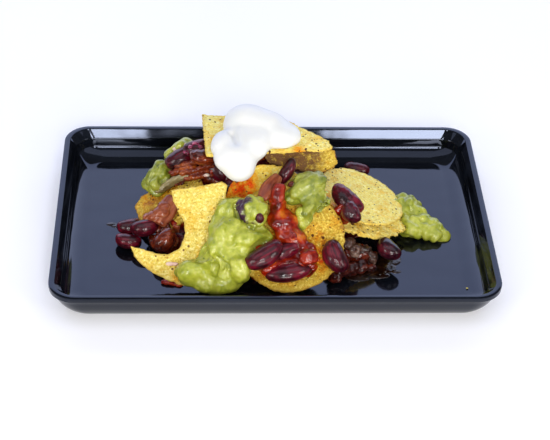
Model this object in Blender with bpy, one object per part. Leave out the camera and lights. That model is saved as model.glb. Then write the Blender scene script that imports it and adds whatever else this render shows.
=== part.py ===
"""Nachos: a plated heap of corn chips, bean salsa, guacamole and sour cream on a shallow black tray.

The origin lies under the middle of the tray, on the surface it stands on. X runs along the tray's length,
to the right, Y across it, to the back, and Z up. All sizes below are in millimetres and become metres only
where a mesh is made.

The heap is built from its firm pieces to its soft ones: the tray, the chips, the beans and cut vegetables,
the soft toppings, and last the loose bean salsa, which fills the room that the others leave between them and
carries the chips. Each soft piece is cut back from the earlier ones by a touch gap, so that every piece is a
closed solid of its own.
"""

import math

import bmesh
import bpy
from mathutils import Vector
from mathutils.bvhtree import BVHTree
from mathutils.geometry import delaunay_2d_cdt

for old in list(bpy.data.objects):
    bpy.data.objects.remove(old, do_unlink=True)

MM = 0.001
TOUCH_GAP = 0.35

# Tray
TRAY_LENGTH = 230.0
TRAY_WIDTH = 150.0
TRAY_HEIGHT = 17.5
TRAY_FLOOR = 3.2
RIM_RADIUS = 14.0
RIM_WIDTH = 2.8
RIM_EDGE = 0.5
LIP_DEPTH = 3.0
BASE_INSET = 8.5
WALL_RADIUS = 13.0
WALL_STEEPEST = 78.0
WALL_STEPS = 5
CORNER_STEPS = 5

# Chips
CHIP_THICKNESS = 1.8
CHIP_STEP = 8.0
CHIP_REACH = 28.0

# Beans
BEAN_LENGTH = 21.0
BEAN_WIDTH = 11.0
BEAN_BEND = 2.0
BEAN_RINGS = 6
BEAN_SIDES = 8

# How far in front of its place a pressed-in piece starts
PRESS = 10.0

# A vertex on a sharp edge moves further than the gap when a piece is grown, but no more than this many times
SHARP_LIMIT = 1.6

# Points closer than this are one point
SAME_PLACE = 0.002

# Soft toppings and the loose bean salsa
BLOB_VOXEL = 1.6
CORE_VOXEL = 2.5


# ---------------------------------------------------------------- shared building blocks


def paint(name, colour, roughness, metallic=0.0):
    """A plain material from an sRGB hex colour."""
    material = bpy.data.materials.new(name)
    material.use_nodes = True
    shader = material.node_tree.nodes["Principled BSDF"]
    channels = [int(colour[place : place + 2], 16) / 255 for place in (1, 3, 5)]
    linear = [c / 12.92 if c <= 0.04045 else ((c + 0.055) / 1.055) ** 2.4 for c in channels]
    shader.inputs["Base Color"].default_value = (*linear, 1.0)
    shader.inputs["Roughness"].default_value = roughness
    shader.inputs["Metallic"].default_value = metallic
    return material


def add(name, bm, material, at=(0, 0, 0), turned=(0, 0, 0)):
    """Turns a bmesh in millimetres into an object at a place in millimetres, turned by degrees."""
    bmesh.ops.scale(bm, vec=(MM, MM, MM), verts=bm.verts)
    mesh = bpy.data.meshes.new(name)
    bm.to_mesh(mesh)
    bm.free()
    mesh.shade_smooth()
    mesh.set_sharp_from_angle(angle=math.radians(50))
    mesh.materials.append(material)
    piece = bpy.data.objects.new(name, mesh)
    bpy.context.scene.collection.objects.link(piece)
    piece.location = Vector(at) * MM
    piece.rotation_euler = [math.radians(angle) for angle in turned]
    bpy.context.view_layer.update()
    return piece


def smooth_run(points, steps):
    """Points along a smooth curve through a short list of points, without the last one."""
    ends = [2 * Vector(points[0]) - Vector(points[1]), 2 * Vector(points[-1]) - Vector(points[-2])]
    knots = [ends[0], *[Vector(point) for point in points], ends[1]]
    run = []
    for k in range(1, len(knots) - 2):
        before, start, end, after = knots[k - 1 : k + 3]
        for step in range(steps):
            t = step / steps
            run.append(
                0.5
                * (
                    2 * start
                    + (end - before) * t
                    + (2 * before - 5 * start + 4 * end - after) * t**2
                    + (3 * start - before - 3 * end + after) * t**3
                )
            )
    return run


def spaced(points, step):
    """The same closed outline with its points about one step apart."""
    lengths = [0.0]
    closed = [*points, points[0]]
    for k in range(len(points)):
        lengths.append(lengths[-1] + (closed[k + 1] - closed[k]).length)
    count = round(lengths[-1] / step)
    result = []
    k = 0
    for index in range(count):
        target = lengths[-1] * index / count
        while lengths[k + 1] < target:
            k += 1
        share = (target - lengths[k]) / (lengths[k + 1] - lengths[k])
        result.append(closed[k].lerp(closed[k + 1], share))
    return result


def inside(point, outline, margin):
    """Whether a point lies within a closed outline, and at least a margin from its points."""
    crossings = 0
    for start, end in zip(outline, outline[1:] + outline[:1]):
        if (start.y > point.y) != (end.y > point.y):
            crossing = start.x + (point.y - start.y) / (end.y - start.y) * (end.x - start.x)
            crossings += crossing > point.x
    return crossings % 2 == 1 and all((point - corner).length > margin for corner in outline)


def inflated(piece, gap):
    """A hidden copy of a piece, grown by a gap, which cuts that gap into its neighbours."""
    bm = bmesh.new()
    bm.from_mesh(piece.data)
    bm.transform(piece.matrix_world)
    bm.normal_update()
    grown = []
    for vert in bm.verts:
        grown.append(vert.co + vert.normal * gap * MM * min(vert.calc_shell_factor(), SHARP_LIMIT))
    for vert, place in zip(bm.verts, grown):
        vert.co = place
    mesh = bpy.data.meshes.new("cutter")
    bm.to_mesh(mesh)
    bm.free()
    cutter = bpy.data.objects.new("cutter", mesh)
    bpy.context.scene.collection.objects.link(cutter)
    cutter.hide_render = True
    cutter.display_type = "WIRE"
    return cutter


def reach(piece):
    """The lowest and highest corner of a piece's box, in world metres."""
    corners = [piece.matrix_world @ Vector(corner) for corner in piece.bound_box]
    low = Vector([min(corner[axis] for corner in corners) for axis in range(3)])
    high = Vector([max(corner[axis] for corner in corners) for axis in range(3)])
    return low, high


def near(one, other, margin=1.0):
    """Whether two pieces' boxes come within a margin of each other."""
    low, high = reach(one)
    other_low, other_high = reach(other)
    return all(
        low[axis] < other_high[axis] + margin * MM and other_low[axis] < high[axis] + margin * MM
        for axis in range(3)
    )


def baked(piece):
    """Replaces a piece's mesh with what its modifiers make of it."""
    graph = bpy.context.evaluated_depsgraph_get()
    mesh = bpy.data.meshes.new_from_object(piece.evaluated_get(graph))
    piece.modifiers.clear()
    piece.data = mesh
    return piece


def keep_largest(piece):
    """Drops the crumbs that a cut leaves loose and keeps the largest body."""
    bm = bmesh.new()
    bm.from_mesh(piece.data)
    bmesh.ops.remove_doubles(bm, verts=bm.verts, dist=SAME_PLACE * MM)
    bmesh.ops.triangulate(bm, faces=bm.faces)
    bodies = []
    waiting = set(bm.verts)
    while waiting:
        body = set()
        front = [next(iter(waiting))]
        while front:
            vert = front.pop()
            if vert in body:
                continue
            body.add(vert)
            front.extend(edge.other_vert(vert) for edge in vert.link_edges)
        waiting -= body
        bodies.append(body)
    bodies.sort(key=len, reverse=True)
    spare = [vert for body in bodies[1:] for vert in body]
    bmesh.ops.delete(bm, geom=spare, context="VERTS")
    bm.to_mesh(piece.data)
    bm.free()
    piece.data.shade_smooth()


def cut_back(piece, others):
    """Cuts a soft piece back from the pieces it was laid on, and twice as far from other soft ones."""
    for other in others:
        if not near(piece, other):
            continue
        cutter = inflated(other, TOUCH_GAP * (2 if other in soft else 1))
        cut = piece.modifiers.new("cut", "BOOLEAN")
        cut.operation = "DIFFERENCE"
        cut.solver = "EXACT"
        cut.use_self = other in soft
        cut.object = cutter
        bpy.context.view_layer.update()
        baked(piece)
        bpy.data.objects.remove(cutter, do_unlink=True)
        bpy.context.view_layer.update()
    keep_largest(piece)


def surface(piece):
    """The piece's surface in world metres, for finding contacts."""
    bm = bmesh.new()
    bm.from_mesh(piece.data)
    bm.transform(piece.matrix_world)
    tree = BVHTree.FromBMesh(bm)
    bm.free()
    return tree


def settle(piece, toward, others, travel=14.0, step=0.25):
    """Moves a piece along a direction until it meets another piece, then leaves the touch gap."""
    trees = [surface(other) for other in others]
    stride = Vector(toward).normalized() * step * MM
    for _ in range(round(travel / step)):
        piece.location += stride
        bpy.context.view_layer.update()
        own = surface(piece)
        if any(own.overlap(tree) for tree in trees):
            break
    piece.location -= stride * (1 + TOUCH_GAP / step)
    bpy.context.view_layer.update()


# ---------------------------------------------------------------- the tray


def rounded_loop(bm, inset, height, radius):
    """A ring of corners and arcs, one inset from the tray's outline."""
    ring = []
    half = (TRAY_LENGTH / 2 - inset - radius, TRAY_WIDTH / 2 - inset - radius)
    for quarter, (side_x, side_y) in enumerate(((1, 1), (-1, 1), (-1, -1), (1, -1))):
        for step in range(CORNER_STEPS + 1):
            angle = math.pi / 2 * (quarter + step / CORNER_STEPS)
            x = side_x * half[0] + radius * math.cos(angle)
            y = side_y * half[1] + radius * math.sin(angle)
            ring.append(bm.verts.new((x, y, height)))
    return ring


def make_tray():
    """The tray: a flat base, a bulging outer wall under a short upright lip, and a hollow rounded inner wall."""
    lip_foot = TRAY_HEIGHT - LIP_DEPTH
    profile = [
        (BASE_INSET + 1.0, 0.0),
        (BASE_INSET, 0.5),
        (5.6, 3.4),
        (3.2, 8.0),
        (1.5, lip_foot - 0.6),
        (0.3, lip_foot),
        (0.0, lip_foot + 0.5),
        (0.0, TRAY_HEIGHT - RIM_EDGE),
        (RIM_EDGE, TRAY_HEIGHT),
        (RIM_WIDTH, TRAY_HEIGHT),
        (RIM_WIDTH + 0.35, TRAY_HEIGHT - 0.45),
    ]
    steepest = math.radians(WALL_STEEPEST)
    bend_top = TRAY_FLOOR + WALL_RADIUS * (1 - math.cos(steepest))
    bend_inset = profile[-1][0] + (profile[-1][1] - bend_top) / math.tan(steepest)
    floor_inset = bend_inset + WALL_RADIUS * math.sin(steepest)
    for step in range(WALL_STEPS + 1):
        angle = steepest * (1 - step / WALL_STEPS)
        inset = floor_inset - WALL_RADIUS * math.sin(angle)
        profile.append((inset, TRAY_FLOOR + WALL_RADIUS * (1 - math.cos(angle))))
    bm = bmesh.new()
    rings = [rounded_loop(bm, inset, z, RIM_RADIUS - 0.4 * inset) for inset, z in profile]
    for lower, upper in zip(rings, rings[1:]):
        for k in range(len(lower)):
            after = (k + 1) % len(lower)
            bm.faces.new((lower[k], lower[after], upper[after], upper[k]))
    bm.faces.new(list(reversed(rings[0])))
    bm.faces.new(rings[-1])
    return add("tray", bm, paint("black_melamine", "#15161B", 0.12))


# ---------------------------------------------------------------- the chips

CORN = paint("corn_chip", "#E8C257", 0.7)
CORN_ORANGE = paint("corn_chip_stained", "#D98A2B", 0.6)
CORN_BROWN = paint("corn_chip_smeared", "#8A6334", 0.6)


def round_outline(radius, stretch=1.0, waves=((2, 0.02, 0.4), (3, 0.015, 1.9), (5, 0.01, 0.7))):
    """The outline of a round chip, slightly out of true by a few waves of count, height and start."""
    outline = []
    for step in range(72):
        angle = math.tau * step / 72
        size = radius * (1 + sum(height * math.sin(count * angle + start) for count, height, start in waves))
        outline.append(Vector((size * math.cos(angle), size * stretch * math.sin(angle))))
    return outline


def broken_outline(*edges):
    """The outline of a broken chip: smooth edges, each a list of points, that meet in corners."""
    outline = []
    for k, edge in enumerate(edges):
        following = edges[(k + 1) % len(edges)]
        outline += smooth_run([(*point, 0) for point in (*edge, following[0])], 5)
    return [point.xy for point in outline]


def chip(name, outline, at, turned, bow=(0.0, 0.0), material=CORN):
    """A corn chip: an even sheet inside an outline, bowed along its own X and Y.

    A bow is the rise in millimetres at the reach of a whole chip from its middle.
    """
    edge = spaced(outline, CHIP_STEP * 0.85)
    points = list(edge)
    for row in range(-8, 9):
        for column in range(-7, 8):
            shift = 0.5 * (row % 2)
            point = Vector(((column + shift) * CHIP_STEP, row * CHIP_STEP * 0.866))
            if inside(point, edge, CHIP_STEP * 0.55):
                points.append(point)
    rim = [(k, (k + 1) % len(edge)) for k in range(len(edge))]
    flat, _, faces, *_ = delaunay_2d_cdt(points, rim, [], 1, 0.0001)
    bm = bmesh.new()
    sides = []
    for sign in (1, -1):
        side = []
        for x, y in flat:
            u = x / CHIP_REACH
            v = y / CHIP_REACH
            rise = bow[0] * u * u + bow[1] * v * v
            side.append(bm.verts.new((x, y, rise + sign * CHIP_THICKNESS / 2)))
        for face in faces:
            corners = [side[k] for k in face]
            bm.faces.new(corners if sign > 0 else reversed(corners))
        sides.append(side)
    open_edges = [edge for edge in bm.edges if edge.is_boundary]
    bmesh.ops.bridge_loops(bm, edges=open_edges)
    bmesh.ops.recalc_face_normals(bm, faces=bm.faces)
    return add(name, bm, material, at, turned)


def make_chips():
    """Every chip, placed by its middle and by how far it leans to the front and to the side."""
    chips = []
    front_left = broken_outline(
        [(-33, 0), (-30, -8), (-19, -17.5), (-6, -23), (8, -25)],
        [(20, -23), (21, -8), (17.5, 12)],
        [(20, 31), (4, 29)],
        [(-11, 28), (-8.5, 18), (-4.5, 10), (-5, 2), (-9, -4.5), (-17, -6), (-26, -2)],
    )
    chips.append(chip("chip_front_left", front_left, (-42, -36, 23), (45, -5, 0), (1.5, -1.5)))
    chips.append(
        chip(
            "chip_front",
            round_outline(29.5, 1.0, ((2, 0.02, 2.6), (3, 0.02, 0.5), (7, 0.008, 0.3))),
            (7, -34.8, 24.4),
            (36, 1.5, 0),
            (-2.0, 1.0),
            material=CORN_ORANGE,
        )
    )
    chips.append(
        chip(
            "chip_middle",
            round_outline(23.5, 1.0, ((2, 0.04, 0.2), (3, 0.03, 1.2))),
            (-3.5, -14, 28),
            (50, 0, 0),
            (-1.5, 0.5),
        )
    )
    left = broken_outline(
        [(-19, 7), (-18, 1), (-16, -8), (-8, -16), (4, -20), (17, -15), (24, -3)],
        [(22, 8), (14, 12.5), (5, 15.5)],
        [(-2.5, 14), (-10, 12.7), (-16, 11)],
    )
    chips.append(
        chip("chip_left", left, (-57, 4, 17), (12, -30, 0), (0.5, -0.5), material=CORN_ORANGE)
    )
    chips.append(
        chip("chip_right_low", round_outline(27.0, 1.02), (48.2, 1.0, 16.6), (-4, 16, 0), (-1.5, -1.0))
    )
    chips.append(
        chip(
            "chip_right_top",
            round_outline(24.5, 1.16, ((2, 0.02, 0), (3, 0.01, 2))),
            (47.3, 3.6, 22.75),
            (-7, 17.5, 0),
            (-1.5, -1.0),
        )
    )
    under_top = broken_outline(
        [(-22, 6), (-18, 0), (-8, -2), (4, -4), (16, -2)],
        [(21, 3), (18, 10), (6, 12), (-10, 11)],
    )
    chips.append(
        chip("chip_under_top", under_top, (14.2, 5.1, 41.5), (35, 5, 0), (0, 0.5), material=CORN_BROWN)
    )
    top = broken_outline(
        [(-33, 23), (-32.5, 1), (-31, -21.5)],
        [(-30.5, -21.5), (-15, -19), (4, -17), (19, -16), (33, -17)],
        [(37, -13), (29.5, -2), (19.5, 9), (12, 20)],
        [(10, 22.5), (-10, 24), (-22, 23)],
    )
    chips.append(chip("chip_top", top, (-5, 14, 54), (-6, 0, 0), (1.0, -2.0)))
    chips.append(chip("chip_back", round_outline(21.0), (6, 42, 22), (-52, 4, 0), (-2.0, 1.0)))
    chips.append(
        chip("chip_back_top", round_outline(20.0, 0.98), (-14, 41, 35.5), (-35, -6, 0), (-1.5, 1.0))
    )
    chips.append(
        chip("chip_back_left", round_outline(17.0, 1.05), (-34.5, 41, 18), (-47, -12, 0), (-1.5, 1.0))
    )
    return chips


# ---------------------------------------------------------------- the beans and cut vegetables

BEAN = paint("kidney_bean", "#4A1020", 0.25)
BEAN_BROWN = paint("kidney_bean_sauced", "#5E2A18", 0.3)


def bean(name, at, aim, length=BEAN_LENGTH, width=BEAN_WIDTH, material=BEAN):
    """A kidney bean: a blunt oval bent sideways along its length."""
    bm = bmesh.new()
    tips = [bm.verts.new((side * length / 2, BEAN_BEND * 0.6, 0)) for side in (-1, 1)]
    rings = []
    for ring in range(1, BEAN_RINGS):
        angle = math.pi * ring / BEAN_RINGS
        along = -math.cos(angle)
        size = math.sin(angle) ** 0.8
        sag = BEAN_BEND * (0.6 * along * along - 0.4 * (1 - along * along))
        rings.append(
            [
                bm.verts.new(
                    (
                        along * length / 2,
                        sag + 0.5 * width * size * math.cos(math.tau * k / BEAN_SIDES),
                        0.46 * width * size * math.sin(math.tau * k / BEAN_SIDES),
                    )
                )
                for k in range(BEAN_SIDES)
            ]
        )
    for k in range(BEAN_SIDES):
        after = (k + 1) % BEAN_SIDES
        bm.faces.new((tips[0], rings[0][after], rings[0][k]))
        bm.faces.new((tips[1], rings[-1][k], rings[-1][after]))
        for ring, following in zip(rings, rings[1:]):
            bm.faces.new((ring[k], ring[after], following[after], following[k]))
    bmesh.ops.recalc_face_normals(bm, faces=bm.faces)
    piece = add(name, bm, material, at)
    piece.rotation_euler = Vector(aim).to_track_quat("X", "Z").to_euler()
    bpy.context.view_layer.update()
    return piece


# Down the line of sight of someone who sits at the long front side: the way each piece was pressed in
BACKWARD = Vector((0.0, 0.75, -0.66))

BEANS = [
    # name, middle, long axis, length, width, sauced
    ("bean_left_a", (-76.5, -5.5, 8.5), (0.9, 0.3, 0.0), 12.5, 8.5, False),
    ("bean_left_b", (-77, -17, 8.0), (0.95, -0.25, 0.0), 13.5, 8, False),
    ("bean_left_c", (-68, -12, 13), (0.9, 0.2, 0.1), 14.5, 9.5, False),
    ("bean_left_d", (-57.5, -26.5, 16), (0.6, 0.3, 0.5), 14, 11, True),
    ("bean_front_b", (4.5, -43.5, 23), (0.9, 0.35, 0.15), 16, 7.5, False),
    ("bean_front_a", (-6, -47, 22.5), (0.83, 0.445, 0.323), 21, 10, False),
    ("bean_front_c", (6.5, -53.5, 17), (0.97, 0.15, 0.1), 22, 9.5, False),
    ("bean_front_right", (30.5, -47, 22), (0.3, -0.6, -0.4), 17.5, 12, False),
    ("bean_right_a", (43.5, -28, 8.7), (0.8, -0.3, 0.0), 16, 11.5, True),
    ("bean_right_b", (60, -25, 8.5), (0.5, -0.7, -0.1), 14, 10, False),
    ("bean_behind", (49, 45.5, 9), (0.95, -0.3, 0.0), 20, 11, False),
    ("bean_on_chip", (38, -13.5, 33), (0.6, -0.55, -0.3), 20, 11, False),
    ("bean_on_chip_low", (39.5, -26, 34), (0.4, -0.6, -0.5), 11, 9, True),
    ("bean_upright", (6, -6.5, 45.5), (0.5, 0.35, 0.65), 16, 6.5, False),
    ("bean_back_a", (-49.5, 19.5, 36), (0.75, 0.3, 0.35), 17, 11, False),
    ("bean_back_b", (-40, 21, 41), (0.9, 0.2, 0.1), 15, 9.5, False),
    ("bean_back_c", (-36.5, 16, 38), (0.95, 0.0, -0.1), 15, 9, True),
]


def strip(name, points, width, thickness, colour):
    """A cut strip of onion or pepper: a flat band, rounded at its edges, along a short curve."""
    run = smooth_run(points, 3) + [Vector(points[-1])]
    bm = bmesh.new()
    rings = []
    for k, place in enumerate(run):
        ahead = run[min(k + 1, len(run) - 1)] - run[max(k - 1, 0)]
        across = ahead.cross(BACKWARD).normalized()
        out = across.cross(ahead).normalized()
        taper = 0.55 + 0.45 * math.sin(math.pi * (k + 0.5) / len(run))
        ring = []
        for step in range(8):
            angle = math.tau * step / 8
            side = across * width / 2 * taper * math.cos(angle)
            ring.append(bm.verts.new(place + side + out * thickness / 2 * taper * math.sin(angle)))
        rings.append(ring)
    for ring, following in zip(rings, rings[1:]):
        for k in range(8):
            after = (k + 1) % 8
            bm.faces.new((ring[k], ring[after], following[after], following[k]))
    bm.faces.new(reversed(rings[0]))
    bm.faces.new(rings[-1])
    bmesh.ops.recalc_face_normals(bm, faces=bm.faces)
    return add(name, bm, paint(name, colour, 0.35))


STRIPS = [
    # name, points along the middle, width, thickness, colour
    ("pepper_strip_left", [(-60.5, -14, 17), (-57, -8, 20.5), (-52.5, -2, 25)], 11, 4.5, "#A4553A"),
    ("pepper_strip_middle", [(-7, -23, 41), (-3, -17, 43.5), (2, -9.5, 45)], 8, 4, "#B4664A"),
    ("tomato_dice", [(0.5, -24, 38.5), (1.5, -21, 42), (2.5, -17.5, 46)], 7, 6, "#B3261A"),
    ("tomato_piece_front", [(12, -47, 20.5), (16.5, -47, 21), (20, -45, 20)], 9, 7, "#9C2217"),
]


# ---------------------------------------------------------------- the soft pieces


def blob(name, lumps, material, triangles, voxel=BLOB_VOXEL, floor=TRAY_FLOOR + TOUCH_GAP):
    """A soft mass: lumps given by middle and radii, melted together and flattened on the tray."""
    bm = bmesh.new()
    for x, y, z, across, deep, tall in lumps:
        ball = bmesh.ops.create_icosphere(bm, subdivisions=3, radius=1.0)
        bmesh.ops.scale(bm, vec=(across, deep, tall), verts=ball["verts"])
        bmesh.ops.translate(bm, vec=(x, y, z), verts=ball["verts"])
    piece = add(name, bm, material)
    melt = piece.modifiers.new("melt", "REMESH")
    melt.mode = "VOXEL"
    melt.voxel_size = voxel * MM
    even = piece.modifiers.new("even", "SMOOTH")
    even.factor = 0.5
    even.iterations = 6
    baked(piece)
    thin = piece.modifiers.new("thin", "DECIMATE")
    thin.ratio = min(1.0, triangles / (2 * len(piece.data.polygons)))
    thin.use_collapse_triangulate = True
    baked(piece)
    bm = bmesh.new()
    bm.from_mesh(piece.data)
    if min(vert.co.z for vert in bm.verts) < floor * MM:
        geometry = [*bm.verts, *bm.edges, *bm.faces]
        bmesh.ops.bisect_plane(
            bm, geom=geometry, plane_co=(0, 0, floor * MM), plane_no=(0, 0, -1), clear_outer=True
        )
        bmesh.ops.holes_fill(bm, edges=[edge for edge in bm.edges if edge.is_boundary])
        bmesh.ops.triangulate(bm, faces=bm.faces)
    bm.to_mesh(piece.data)
    bm.free()
    bpy.context.view_layer.update()
    return piece


GUACAMOLE = paint("guacamole", "#A5BD3D", 0.35)
CREAM = paint("sour_cream", "#F4F3EE", 0.3)
SALSA = paint("tomato_salsa", "#B32A12", 0.2)
BEAN_SALSA = paint("bean_salsa", "#5A2016", 0.3)


# ---------------------------------------------------------------- serving it

tray = make_tray()
chips = make_chips()
placed = [tray, *chips]
soft = []


def press_in(piece):
    """Presses a piece onto what it lands on, from a little in front of its place."""
    piece.location -= BACKWARD * PRESS * MM
    bpy.context.view_layer.update()
    settle(piece, BACKWARD, [other for other in placed if near(piece, other, 2 * PRESS)])
    placed.append(piece)


for name, at, aim, length, width, sauced in BEANS:
    press_in(bean(name, at, aim, length, width, BEAN_BROWN if sauced else BEAN))
for name, points, width, thickness, colour in STRIPS:
    press_in(strip(name, points, width, thickness, colour))

toppings = {
    "guacamole_front": (
        [
            (-23, -26.5, 36.5, 7, 6, 6),
            (-25, -36, 30, 11, 9, 7),
            (-30, -43, 23, 10, 8, 8),
            (-18, -40, 27, 13, 10, 8),
            (-9, -38, 28, 8, 7, 5),
            (-20, -50, 18, 11, 8, 9),
            (-42, -50, 14, 10, 6, 7),
            (-30, -53, 10, 13, 7, 6),
        ],
        GUACAMOLE,
        250,
    ),
    "guacamole_ball": ([(-12, -28.8, 37, 8, 8, 8)], GUACAMOLE, 140),
    "guacamole_middle": (
        [(18, -15, 44, 9, 7, 6), (11, -20, 40, 7, 6, 4), (23, -23, 38, 8, 7, 5), (16, -29, 32, 4, 4, 6)],
        GUACAMOLE,
        200,
    ),
    "guacamole_right": (
        [(73, 9, 8, 10, 9, 8), (77, -2, 7, 12, 9, 6), (85, -5, 6.5, 9, 7, 5), (91, -6, 5, 5, 4, 3)],
        GUACAMOLE,
        200,
    ),
    "guacamole_left": (
        [(-57, 22, 26.5, 5, 5, 5), (-60.5, 19.5, 24, 6, 6, 6), (-62.5, 15, 20.5, 6.5, 6, 5)],
        GUACAMOLE,
        200,
    ),
    "guacamole_rear": (
        [(-53, 28, 31, 6, 5, 4), (-47, 30, 35, 6, 5, 3.5)],
        GUACAMOLE,
        120,
    ),
    "sour_cream": (
        [
            (-13, 16, 60, 13, 12, 9.0),
            (-5, 15, 59, 12, 9, 8),
            (-12, 2, 58, 10, 11, 7),
            (4, 8, 58, 10, 9, 6),
            (-25, 1, 58, 7, 8, 6.5),
            (-19.5, -8, 55, 9, 8, 8),
            (-18.5, -12, 51.5, 7.5, 6, 6.5),
        ],
        CREAM,
        350,
    ),
    "tomato_salsa": (
        [
            (1, -24, 39, 4, 5, 6),
            (3.6, -30, 32, 8, 7, 4),
            (8, -37, 27, 8, 6, 4),
            (14, -42, 22.5, 8, 5, 4),
            (6, -49, 17, 16, 7.5, 5),
        ],
        SALSA,
        180,
    ),
}
for name, (lumps, material, triangles) in toppings.items():
    piece = blob(name, lumps, material, triangles)
    cut_back(piece, placed[1:])
    placed.append(piece)
    soft.append(piece)

core_lumps = [
    (-8, 20, 13, 40, 23, 38),
    (-10, -20, 3, 50, 25, 18),
    (42, 10, 4, 32, 24, 11),
    (-44, 16, 20, 14, 12, 13),
    (-56, -14, 8, 14, 12, 10),
]
# Smaller lumps round the back of the mound, in two rows, which make its outline uneven
MOUND_MIDDLE = (-8, 20)
MOUND_HALF = (42, 22)
LUMPS_PER_ROW = 7
LUMP_SIZE = 9
for row, (height, spread) in enumerate(((10, 1.0), (26, 0.86))):
    for k in range(LUMPS_PER_ROW):
        angle = math.pi * (0.06 + (k + 0.5 * row) / (LUMPS_PER_ROW + 0.4))
        x = MOUND_MIDDLE[0] + MOUND_HALF[0] * spread * math.cos(angle)
        y = MOUND_MIDDLE[1] + MOUND_HALF[1] * spread * math.sin(angle)
        size = (LUMP_SIZE + k % 3, LUMP_SIZE - 1 + (k + row) % 3, LUMP_SIZE + (k + 2 * row) % 3)
        core_lumps.append((x, y, height, *size))
core = blob("bean_salsa", core_lumps, BEAN_SALSA, 420, voxel=CORE_VOXEL)
cut_back(core, placed[1:])
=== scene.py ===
import math
import random

import bmesh
import bpy
import numpy as np
from mathutils import Matrix, Vector, noise
from mathutils.bvhtree import BVHTree
from mathutils.kdtree import KDTree


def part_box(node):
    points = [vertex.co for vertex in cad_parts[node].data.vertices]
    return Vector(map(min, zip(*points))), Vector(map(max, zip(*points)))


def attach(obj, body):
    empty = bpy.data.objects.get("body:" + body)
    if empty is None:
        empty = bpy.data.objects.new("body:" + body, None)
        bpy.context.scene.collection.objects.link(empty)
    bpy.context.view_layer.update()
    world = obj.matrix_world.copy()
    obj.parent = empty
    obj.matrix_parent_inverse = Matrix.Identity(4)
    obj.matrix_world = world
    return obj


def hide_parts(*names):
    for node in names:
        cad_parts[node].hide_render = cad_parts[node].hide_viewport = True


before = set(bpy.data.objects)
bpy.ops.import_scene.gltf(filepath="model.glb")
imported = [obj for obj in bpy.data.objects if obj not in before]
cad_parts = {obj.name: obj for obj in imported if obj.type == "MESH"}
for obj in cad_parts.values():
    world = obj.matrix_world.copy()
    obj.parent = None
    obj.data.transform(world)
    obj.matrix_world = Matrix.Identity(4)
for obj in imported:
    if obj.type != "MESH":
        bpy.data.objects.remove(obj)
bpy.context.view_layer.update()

MM = 0.001


# ------------ tray
# One shallow oblong tray with a flat rim, sloped walls and rounded corners. It is black melamine, pressed in a
# polished steel mould, so it is glossy all over, a little uneven, and wiped rather than spotless.


def linear(colour):
    """An sRGB hex colour as linear red, green, blue and alpha."""
    channels = [int(colour[place : place + 2], 16) / 255 for place in (1, 3, 5)]
    return (*[c / 12.92 if c <= 0.04045 else ((c + 0.055) / 1.055) ** 2.4 for c in channels], 1.0)


def feed(tree, node, inputs):
    """Gives a shader node its inputs, each a value or a socket to link from."""
    for name, value in inputs.items():
        if isinstance(value, bpy.types.NodeSocket):
            tree.links.new(value, node.inputs[name])
        else:
            node.inputs[name].default_value = value


def put(tree, kind, inputs=None, stops=None, output=0, **settings):
    """Adds a shader node with its settings, its inputs and its colour stops, and gives back one of its outputs."""
    made = tree.nodes.new("ShaderNode" + kind)
    for name, value in settings.items():
        setattr(made, name, value)
    feed(tree, made, inputs or {})
    if stops:
        elements = made.color_ramp.elements
        while len(elements) < len(stops):
            elements.new(0.5)
        for element, (place, colour) in zip(elements, stops):
            element.position = place
            element.color = linear(colour)
    return made.outputs[output]


def blend(tree, amount, below, above, kind="MIX"):
    """Lays one colour over another by an amount."""
    return put(tree, "Mix", {0: amount, 6: below, 7: above}, output=2, data_type="RGBA", blend_type=kind)


def new_material(name):
    """An empty material with its output, its shader, and Object coordinates in millimetres."""
    material = bpy.data.materials.new(name)
    material.use_nodes = True
    tree = material.node_tree
    shader = tree.nodes["Principled BSDF"]
    place = put(tree, "TexCoord", output="Object")
    place = put(tree, "VectorMath", {0: place, "Scale": 1 / MM}, operation="SCALE")
    return material, tree, shader, place


def dress(piece, material, node_names):
    """Gives a finished piece its material slot, smooth shading and body, and hides the CAD nodes it stands for."""
    piece.data.materials.clear()
    piece.data.materials.append(material)
    piece.data.shade_smooth()
    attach(piece, "root")
    if node_names:
        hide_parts(*node_names)


def select_only(piece):
    """Selects one piece and makes it the active one."""
    bpy.ops.object.select_all(action="DESELECT")
    piece.select_set(True)
    bpy.context.view_layer.objects.active = piece


low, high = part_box("tray")
TRAY_HALF = ((high.x - low.x) / 2, (high.y - low.y) / 2)
TRAY_TOP = high.z
RIM_RADIUS = 14 * MM
RIM_WIDTH = 2.8 * MM
CORNER_STEPS = 14
# The inner wall flares under the rim, drops steeply, then sweeps in a hollow arc to the level floor, in millimetres
TRAY_FLOOR, WALL_RADIUS, WALL_STEEPEST, WALL_STEPS = 3.2, 12.37, math.radians(53.4), 12
WALL_FOOT = 16.62
# Distance in from the outline and height, in millimetres: down the inside from the rim, and down the outside
TRAY_INSIDE = [(3.0, 17.42), (3.15, 17.15), (3.3, 16.95), (5.6, 13.5), (5.85, 13.1), (6.0, 12.6), (6.6, 8.9)]
for step in range(WALL_STEPS + 1):
    angle = WALL_STEEPEST * (1 - step / WALL_STEPS)
    TRAY_INSIDE.append(
        (WALL_FOOT - WALL_RADIUS * math.sin(angle), TRAY_FLOOR + WALL_RADIUS * (1 - math.cos(angle)))
    )
TRAY_OUTSIDE = (
    (0.0, 17.0), (0.0, 15.0), (0.3, 14.5), (1.5, 13.9), (2.3, 11.0), (3.2, 8.0), (4.3, 5.6),
    (5.6, 3.4), (7.0, 1.7), (8.5, 0.5), (9.5, 0.0),
)

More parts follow.
